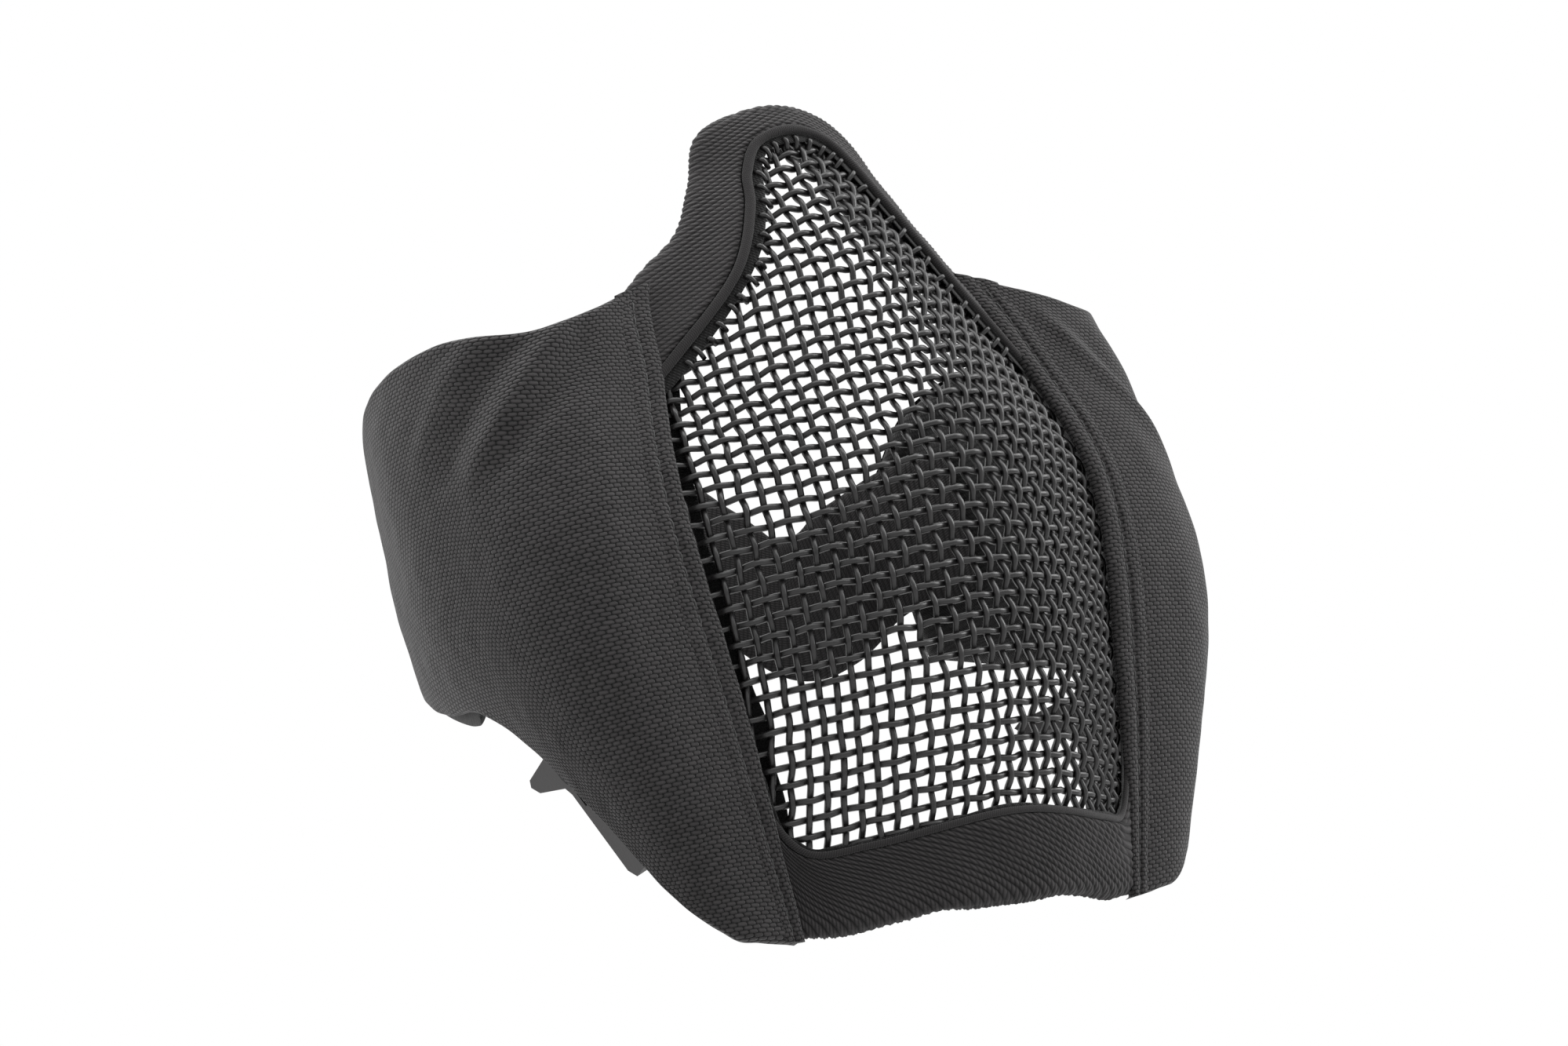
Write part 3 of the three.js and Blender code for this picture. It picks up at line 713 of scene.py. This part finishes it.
def band(name, inner, outer, steps, material, ribs, depth):
    """Ribbed webbing folded over the wire's edge: outer ply, round fold, inner ply."""
    outer_lift = GAP + BAND_THICK / 2
    radius = (outer_lift + MESH_THICK + outer_lift) / 2
    t = np.linspace(0, 1, steps)
    a, b = inner(t), outer(t)
    width = np.linalg.norm(b - a, axis=1)[:, None]
    towards = ((b - a) / width)[:, None]
    over, under = np.linspace(0, 1, 52), np.linspace(1, 0.25, 10)
    turn = np.linspace(0, math.pi, 18)[1:-1]
    place = np.hstack([width * over, width + radius * np.sin(turn), width * under])
    lift = np.concatenate([np.full(len(over), outer_lift), outer_lift - radius * (1 - np.cos(turn)),
                           np.full(len(under), outer_lift - 2 * radius)])
    lift = np.broadcast_to(lift, place.shape)
    run = np.stack([np.gradient(place, axis=1), np.gradient(lift, axis=1)], -1)
    run /= np.linalg.norm(run, axis=-1, keepdims=True)
    path = np.concatenate([np.zeros((steps, 1)), np.cumsum(np.hypot(
        np.diff(place, axis=1), np.diff(lift, axis=1)), axis=1)], axis=1)

    def skin(push):
        d = place - run[..., 1] * push
        p = a[:, None] + towards * d[..., None]
        return on_face(p[..., 0], p[..., 2], lift + run[..., 0] * push)

    middle = skin(0)
    uv = middle[..., (0, 2)]
    if name == "chin_band":
        uv = np.stack([fan(lengths(middle)), middle[..., 2]], -1)
    edge = np.clip(np.minimum(path, path[:, -1:] - path) / 0.6, 0.15, 1) ** 0.5
    u, v = np.moveaxis(uv, -1, 0)
    relief = (rib_height(u, v, *ribs) - 0.7) * depth + 0.14 * ripple(5, u, v, 14)
    face, back = skin(BAND_THICK / 2 * edge + relief), skin(-BAND_THICK / 2 * edge)
    made = pillow(name + "_ribbed", face, back, material, uv)
    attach(made, "front")
    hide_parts(name)


def opening_side(inner, t, open_side):
    """Unit directions in the panel's plan from a band's edge towards the opening."""
    tangent = inner(t + 1e-4) - inner(t - 1e-4)
    tangent /= np.linalg.norm(tangent, axis=1)[:, None]
    return np.stack([-tangent[:, 2], 0 * t, tangent[:, 0]], 1) * open_side


def strip(title, a, b, lift, thick):
    """A thin strip on the face between two lines of points, in the nearly black cloth that paints shade."""
    across = np.linspace(0, 1, 9)[None, :, None]
    p = a[:, None] * (1 - across) + b[:, None] * across
    edge = np.sqrt(np.clip(1 - np.abs(np.linspace(-1, 1, 9)) ** 4, 0.05, 1))[None] * thick / 2
    middle = on_face(p[..., 0], p[..., 2], np.full(p.shape[:2], lift))
    uv = np.stack([lengths(middle, 0), lengths(middle, 1)], -1)
    outer, inner = (on_face(p[..., 0], p[..., 2], lift + side * edge) for side in (1, -1))
    made = pillow(title, outer, inner, PAINTED_SHADE_CLOTH, uv)
    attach(made, "front")


def painted_shade_edge(title, inner, open_side, reach, steps):
    """The nearly black strip between a band's rolled edging and the open wire: painted shade in the gap
    there.
    """
    t = np.linspace(0.004, 0.996, steps)
    side = opening_side(inner, t, open_side)
    uneven = 0.25 * ripple(6, t * 100, 0 * t, 9)[:, None]
    strip(title, inner(t) - side * 0.5, inner(t) + side * (reach + uneven), 0.42, 0.4)


def edging(name, inner, open_side, steps, thick):
    """Rolled edging on the opening's side of a band."""
    t = np.linspace(0.006, 0.994, steps)
    p = inner(t) + opening_side(inner, t, open_side) * (thick + 0.05)
    lift = np.full(steps, thick + GAP)
    centre = on_face(p[:, 0], p[:, 2], lift)
    normal = on_face(p[:, 0], p[:, 2], lift + 1) - centre
    run = lengths(centre)
    radius = thick * (1.02 + 0.03 * np.abs(np.sin(run / 0.6 * math.pi)) + 0.03 * ripple(8, run, 0 * run, 12))
    sides = 20
    rings = tube_points(centre, normal, radius, sides, 0.9)
    v = np.arange(sides) / sides * math.tau * PIPING_R
    uv = np.stack(np.broadcast_arrays(run[:, None], v[None]), -1)
    made = loft(name + "_rolled", rings, EDGING, uv)
    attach(made, "front")
    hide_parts(name)


def rounded(count):
    """A row of heights, low at both ends and rising as a quarter round over five steps."""
    place = np.minimum(np.arange(count), np.arange(count)[::-1]) / 5
    return np.sqrt(np.clip(1 - (1 - np.clip(place, 0, 1)) ** 2, 0.02, 1))


def foam_pad(name, inner, outer, start, length):
    """Foam strip behind a band, crowned towards the face."""
    columns, rows = int(length / 1.1), 14
    t = np.linspace(start, 1 - start, columns)
    across = np.linspace(0.35, 0.9, rows)
    p = inner(t)[:, None] * (1 - across)[None, :, None] + outer(t)[:, None] * across[None, :, None]
    top = -MESH_THICK - 2 * GAP - BAND_THICK
    crown = rounded(columns)[:, None] * rounded(rows)[None]
    u = np.broadcast_to(lengths(inner(t))[:, None], crown.shape)
    v = np.broadcast_to(across[None] * 12, crown.shape)
    crown = crown * (1 + 0.06 * ripple(9, u, v, 10))
    flat = on_face(p[..., 0], p[..., 2], np.full(crown.shape, top))
    full = on_face(p[..., 0], p[..., 2], top - 0.3 - (PAD_THICK - 0.3) * crown)
    made = pillow(name + "_foam", flat, full, FOAM, np.stack([u, v], -1))
    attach(made, "front")
    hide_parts(name)


def seam_shade_binding(name, side):
    """Binding behind the wire's side edge, seen through the wire next to the hem; its nearly black cloth is
    painted shade for the gap under the hem.
    """
    z = np.linspace(CHIN_EDGE + 1, 112, BINDING_STEPS)
    half = smooth(FACE, z)[..., 0]
    uneven = 0.3 * ripple(12 + side, z, 0 * z, 15)
    edge, far = np.zeros((2, BINDING_STEPS, 3))
    edge[:, 0], far[:, 0] = side * (half - 3 + uneven), side * (half + 3.4)
    edge[:, 2] = far[:, 2] = z
    strip(f"{name}_seam_shade_binding", edge, far, -2.6, 0.5)


# ---- cheek wings ----------------------------------------------------------------------
# Soft ridges of the cloth: from (along, up) to (along, up), then width and height. Along is
# millimetres back from the seam, and up is millimetres above the chin edge.
RIDGES = {
    "right": [(13, 114, 33, 88, 2.6, -0.9), (19, 115, 40, 88, 2.6, 1.35), (26, 115, 48, 90, 3, -1.1),
              (34, 115, 56, 94, 3.2, 0.8), (14, 96, 22, 40, 5, 0.6), (62, 116, 72, 62, 15, 1.2)],
    "left": [(10, 114, 32, 76, 3.0, 1.0), (17, 113, 42, 66, 3.4, -0.8), (26, 110, 52, 72, 5, 0.5),
             (28, 84, 36, 24, 5, 0.8), (60, 104, 82, 74, 8, 0.5), (8, 90, 14, 40, 4, -0.4)],
}


def ridge_relief(along, up, ridges):
    """The height of all the ridges, each fading in and out along its own line."""
    total = 0
    for a0, u0, a1, u1, width, height in ridges:
        run = np.array([a1 - a0, u1 - u0], float)
        length = np.linalg.norm(run)
        t = ((along - a0) * run[0] + (up - u0) * run[1]) / length**2
        off = ((along - a0) * -run[1] + (up - u0) * run[0]) / length
        fade = np.clip(t * 4, 0, 1) * np.clip((1.15 - t) * 2.5, 0, 1)
        total = total + height * fade * fade * (3 - 2 * fade) * np.exp(-((off / width) ** 2))
    return total


def wing_grid(start, stop, inset, columns, rows, side, drop=0):
    """Shares and heights over a wing, closer together near its edges."""
    def spread(count):
        t = np.linspace(0, 1, count)
        return 0.45 * t + 0.55 * (0.5 - 0.5 * np.cos(math.pi * t))
    share = np.broadcast_to((start + (stop - start) * spread(columns))[:, None], (columns, rows))
    fall = drop * np.clip((share - 0.7) / 0.05, 0, 1)
    bottom = smooth(WING_BOTTOM, share)[..., 0] + inset - fall
    top = smooth(WING_TOP, share)[..., 0] - inset
    z = bottom + (top - bottom) * spread(rows)[None]
    return share + front_shift(z, side) * (1 - share) ** 8, z


def front_shift(z, side):
    """How far back from the seam, in share, a cover's front edge starts near its top corner."""
    t = np.clip((z - 100) / 20, 0, 1)
    return (0.024 if side == RIGHT else 0.004) * t * t * (3 - 2 * t)


def from_border(run, rise):
    """Distance of each point of a grid from its upper, lower and rear borders."""
    return np.minimum(np.minimum(rise, rise[:, -1:] - rise), run[-1:] - run)


def edge_roll(distance, reach):
    """0 at the border to 1 at reach inside it, as a quarter round."""
    inside = 1 - np.clip(distance / reach, 0, 1)
    return np.sqrt(np.clip(1 - inside**2, 0, 1))


def bend_with_wing(piece):
    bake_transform(piece)


def flip(points, side):
    """The left wing's points for either side."""
    return points * [side, 1, 1]


def cheek_shell(name, side):
    """Coarse nylon skin: rolled edges and soft ridges, calm beside the hem."""
    share, z = wing_grid(0, 1, 0, 230, 190, side)
    base = wing_point(share, z)
    run, rise = lengths(base, 0), lengths(base, 1)
    up = rise + base[:, :1, 2] * 1.04
    uv = np.stack([run, up - 0.1 * run], -1)
    roll = edge_roll(from_border(run, rise), 1.8)
    relief = ridge_relief(run, z, RIDGES[name])
    relief = relief + 0.22 * ripple(21 + side, run, z, 26) + 0.06 * ripple(23, run, z, 7)
    calm = np.clip((run - 7) / 8, 0, 1) * roll
    lift = SHELL_LIFT + SHELL_THICK + 0.1 - 2.0 * (1 - roll) + relief * calm
    under = np.minimum(SHELL_LIFT - 0.1, lift - 0.25)
    outer, inner = (flip(on_wing(share, z, height), side) for height in (lift, under))
    made = pillow(f"{name}_cheek_cover", outer, inner, COARSE_NYLON, uv)
    bend_with_wing(made)
    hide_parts(f"{name}_cheek_shell")


# Across a hem as [millimetres back from the seam, lift]: out along the top over the sunk
# stitches, round the fold, and back under.
HEM_PROFILE = [
    [7.0, 1.3], [6.4, 1.52], [5.6, 1.72], [4.8, 1.88], [4.2, 1.86], [3.8, 1.66], [3.5, 1.5],
    [3.2, 1.52], [2.9, 1.78], [2.4, 2.12], [1.6, 2.34], [0.7, 2.36], [0.0, 2.1], [-0.35, 1.6],
    [-0.4, 1.0], [-0.1, 0.45], [0.5, 0.15], [1.6, 0.1], [3.0, 0.3], [5.0, 0.6], [6.6, 0.9]]


def cheek_hem(name, side):
    """The cover's turned front edge, with a row of stitches."""
    rows = 260
    t = np.linspace(0, 1, rows)[:, None]
    profile = np.array(HEM_PROFILE)
    per_share = lengths(wing_point(np.linspace(0, 0.06, 30), np.full(30, 70.0)))[-1] / 0.06
    share = np.broadcast_to(profile[None, :, 0] / per_share, (rows, len(profile)))
    bottom = smooth(WING_BOTTOM, np.clip(share, 0, 1))[..., 0] + 0.2
    top = smooth(WING_TOP, np.clip(share, 0, 1))[..., 0] - 0.2
    z = bottom + (top - bottom) * t
    share = share + front_shift(z, side)
    puff = 0.12 * ripple(31 + side, z, share * per_share, 9)
    slim = 1 - 0.3 * np.clip((z - 108) / 12, 0, 1)
    lift = profile[None, :, 1] * slim + puff * (profile[None, :, 1] > 1.8)
    loop = flip(on_wing(share, z, lift), side)
    v = lengths(np.array([[*p, 0] for p in HEM_PROFILE]))
    uv = np.stack(np.broadcast_arrays(v[None], z * 1.04), -1)
    made = loft(f"{name}_cheek_turned_hem", loop, COARSE_NYLON, uv)
    bend_with_wing(made)
    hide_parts(f"{name}_cheek_hem")
    stitches(name, side, 3.4 / per_share, 1.5)


def stitches(name, side, share, lift):
    """A row of short thread dashes sunk in the hem."""
    length, space, radius, sides = 2.1, 0.7, 0.15, 6
    sink = np.array([-0.3, -0.04, 0.04, 0.06, 0.04, -0.04, -0.3])
    low = float(smooth(WING_BOTTOM, share)[..., 0]) + 1.5
    high = float(smooth(WING_TOP, share)[..., 0]) - 1.5
    runs = []
    for start in np.arange(low, high - length, length + space):
        z = np.linspace(start, start + length, len(sink))
        shifted = share + front_shift(z, side)
        centre = on_wing(shifted, z, lift + sink)
        normal = on_wing(shifted, z, lift + sink + 1) - centre
        runs.append(flip(tube_points(centre, normal, radius, sides), side))
    made = tubes(f"{name}_hem_stitches", runs, THREAD, sides)
    bend_with_wing(made)


def cheek_lining(name, side):
    """Foam in brushed tricot behind the cover, quilted along a line near its edge."""
    share, z = wing_grid(0.13, 1, 0.6, 62, 50, side, drop=3.6)
    base = wing_point(share, z)
    run, rise = lengths(base, 0), lengths(base, 1)
    border = np.minimum(from_border(run, rise), run)
    roll = edge_roll(border, 2.4)
    quilt = np.exp(-(((border - 7) / 1.4) ** 2))
    top = SHELL_LIFT - 2 * GAP - 0.1
    under = top - 0.3 - 2.2 * roll + 1.2 * quilt - 0.2 * ripple(41 + side, run, z, 18) * roll
    flat, full = (flip(on_wing(share, z, lift), side) for lift in (np.full(share.shape, top), under))
    made = pillow(f"{name}_cheek_padding", flat, full, TRICOT, np.stack([run, rise], -1))
    sewn = np.flatnonzero((border < 0.6) | (quilt > 0.7))
    inflate(made, np.concatenate([np.arange(share.size), share.size + sewn]))
    bend_with_wing(made)
    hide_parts(f"{name}_cheek_foam", f"{name}_cheek_lining")


# ---- neck strap, adjuster and clips -------------------------------------------------------
def strap_line():
    """The strap's own route as dense points, from the right wing round to the left."""
    lift = SHELL_LIFT - 2 * GAP - FOAM_THICK - GAP - LINING_THICK - STRAP_THICK / 2 - 2
    sewn = [on_wing(np.array(s), np.array(z), np.array(lift)) for s, z in STRAP_SEWN]
    points = [p * [-1, 1, 1] for p in sewn] + [np.array(p, float) for p in STRAP_FREE] + sewn[::-1]
    return catmull_rom(points, np.linspace(0, 1, 1500))


def neck_strap(name, start, stop):
    """The webbing between two shares of the strap's route."""
    line = strap_line()
    run = lengths(line)
    share = np.linspace(start, stop, int((stop - start) * run[-1] / 0.8))
    centre = np.stack([np.interp(share * run[-1], run, line[:, k]) for k in range(3)], 1)
    tangent = np.gradient(centre, axis=0)
    tangent /= np.linalg.norm(tangent, axis=1)[:, None]
    out = -np.cross([0, 0, 1], tangent)
    out /= np.linalg.norm(out, axis=1)[:, None]
    up = np.cross(out, tangent) + [0, 0, STRAP_STANDS]
    up /= np.linalg.norm(up, axis=1)[:, None]
    across = np.linspace(-1, 1, STRAP_COLUMNS)[None]
    u = np.broadcast_to((share * run[-1])[:, None], (len(share), STRAP_COLUMNS))
    v = np.broadcast_to(across * STRAP_WIDTH / 2, u.shape)
    thick = STRAP_THICK / 2 * np.sqrt(np.clip(1 - np.abs(across) ** 12, 0.03, 1))
    bead = 0.12 * np.exp(-(((np.abs(v) - 12.6) / 0.8) ** 2))
    wave = 0.1 * np.sin(u / 1.6 * math.tau) * (1 - np.abs(across) ** 6)
    place = centre[:, None] + up[:, None] * v[..., None]
    outer = place + out[:, None] * (thick + bead + 0.4 * wave)[..., None]
    inner = place - out[:, None] * (thick + bead - 0.4 * wave)[..., None]
    made = pillow(f"{name}_neck_webbing", outer, inner, STRAP_WEBBING, np.stack([u, v], -1))
    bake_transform(made)
    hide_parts(f"{name}_neck_strap")


def bevelled(node, title, body, material, width):
    """A CAD node's shape as a new piece with softened edges."""
    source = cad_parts[node]
    made = bpy.data.objects.new(title, source.data.copy())
    bpy.context.scene.collection.objects.link(made)
    made.data.materials.clear()
    made.data.materials.append(material)
    weld = made.modifiers.new("weld", "WELD")
    weld.merge_threshold = 0.00002
    flat = made.modifiers.new("flat", "DECIMATE")
    flat.decimate_type = "DISSOLVE"
    flat.angle_limit = math.radians(1)
    bevel = made.modifiers.new("bevel", "BEVEL")
    bevel.width = width
    bevel.segments = 3
    bevel.limit_method = "ANGLE"
    bevel.angle_limit = math.radians(25)
    applied(made)
    made.data.polygons.foreach_set("use_smooth", np.zeros(len(made.data.polygons), bool))
    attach(made, body)
    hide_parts(node)


# ---- stage, lights and camera ---------------------------------------------------------------
def aim(made, place, target, roll=0.0):
    """Puts an object at a place, looking at a target, turned about its own view line."""
    back = np.array(place, float) - target
    back /= np.linalg.norm(back)
    right = np.cross([0, 0, 1], back)
    right /= np.linalg.norm(right)
    up = np.cross(back, right)
    c, s = math.cos(roll), math.sin(roll)
    columns = [right * c - up * s, right * s + up * c, back]
    matrix = Matrix.Identity(4)
    for k, column in enumerate(columns + [np.array(place, float)]):
        for row in range(3):
            matrix[row][k] = column[row]
    made.matrix_world = matrix


def polar(azimuth, elevation, distance, target):
    """A place round a target; azimuth 0 is straight in front of the mask."""
    a, e = math.radians(azimuth), math.radians(elevation)
    away = np.array([math.sin(a) * math.cos(e), -math.cos(a) * math.cos(e), math.sin(e)])
    return np.array(target) + distance * away


def area_light(name, azimuth, elevation, size, power):
    data = bpy.data.lights.new(name, "AREA")
    data.shape = "SQUARE"
    data.size = size
    data.energy = power
    made = bpy.data.objects.new(name, data)
    bpy.context.scene.collection.objects.link(made)
    target = np.zeros(3)
    aim(made, polar(azimuth, elevation, LIGHT_DISTANCE, target), target)


def studio():
    """A white room with a pale floor, three soft lights and the camera."""
    scene = bpy.context.scene
    scene.view_settings.view_transform = "Standard"
    world = bpy.data.worlds.new("studio")
    world.use_nodes = True
    world.node_tree.nodes["Background"].inputs[0].default_value = (1, 1, 1, 1)
    world.node_tree.nodes["Background"].inputs[1].default_value = 1.0
    scene.world = world
    floor_material = bpy.data.materials.new("pale_floor")
    floor_material.use_nodes = True
    floor_material.node_tree.nodes["Principled BSDF"].inputs["Base Color"].default_value = (0.6, 0.6, 0.6, 1)
    bpy.ops.mesh.primitive_plane_add(size=8, location=(0, 0, FLOOR_HEIGHT))
    floor = bpy.context.object
    floor.name = "floor"
    floor.data.materials.append(floor_material)
    for light in LIGHTS:
        area_light(*light)
    camera = bpy.data.objects.new("camera", bpy.data.cameras.new("camera"))
    scene.collection.objects.link(camera)
    camera.data.lens = CAMERA_LENS
    camera.data.sensor_width = 36
    camera.data.clip_start = 0.01
    place = polar(CAMERA_AZIMUTH, CAMERA_ELEVATION, CAMERA_DISTANCE, CAMERA_TARGET)
    aim(camera, place, CAMERA_TARGET, math.radians(CAMERA_ROLL))
    scene.camera = camera


# ---- the assembly ---------------------------------------------------------------------------
studio()
wire_cloth()
band("nose_band", nose_inner, nose_outer, 600, NOSE_WEBBING, NOSE_RIBS, 0.24)
# Nearly black strip beside the nose band's edging: painted shade.
painted_shade_edge("nose_band_painted_shade", nose_inner, -1, 3.1, 200)
band("chin_band", chin_inner, chin_outer, 420, CHIN_WEBBING, CHIN_RIBS, 0.34)
# Nearly black strip beside the chin band's edging: painted shade.
painted_shade_edge("chin_band_painted_shade", chin_inner, 1, 1.5, 140)
edging("nose_piping", nose_inner, -1, 460, PIPING_R)
edging("chin_piping", chin_inner, 1, 380, CHIN_PIPING_R)
foam_pad("nose_pad", nose_inner, nose_outer, 0.2, 90)
foam_pad("chin_pad", chin_inner, chin_outer, 0.12, 80)
for wing, side in SIDES:
    # Nearly black binding behind each side edge of the wire: painted shade next to the hem.
    seam_shade_binding(wing, side)
    cheek_shell(wing, side)
    cheek_hem(wing, side)
    cheek_lining(wing, side)
    bevelled(f"{wing}_rail_clip", f"{wing}_helmet_clip", f"{wing}_clip", PLASTIC, 0.0004)
    bevelled(f"{wing}_clip_strap", f"{wing}_clip_webbing", f"{wing}_wing", EDGING, 0.0003)
neck_strap("right", 0, STRAP_CUT)
neck_strap("left", STRAP_CUT, 1)
bevelled("strap_adjuster", "three_bar_adjuster", "adjuster", PLASTIC, 0.0005)
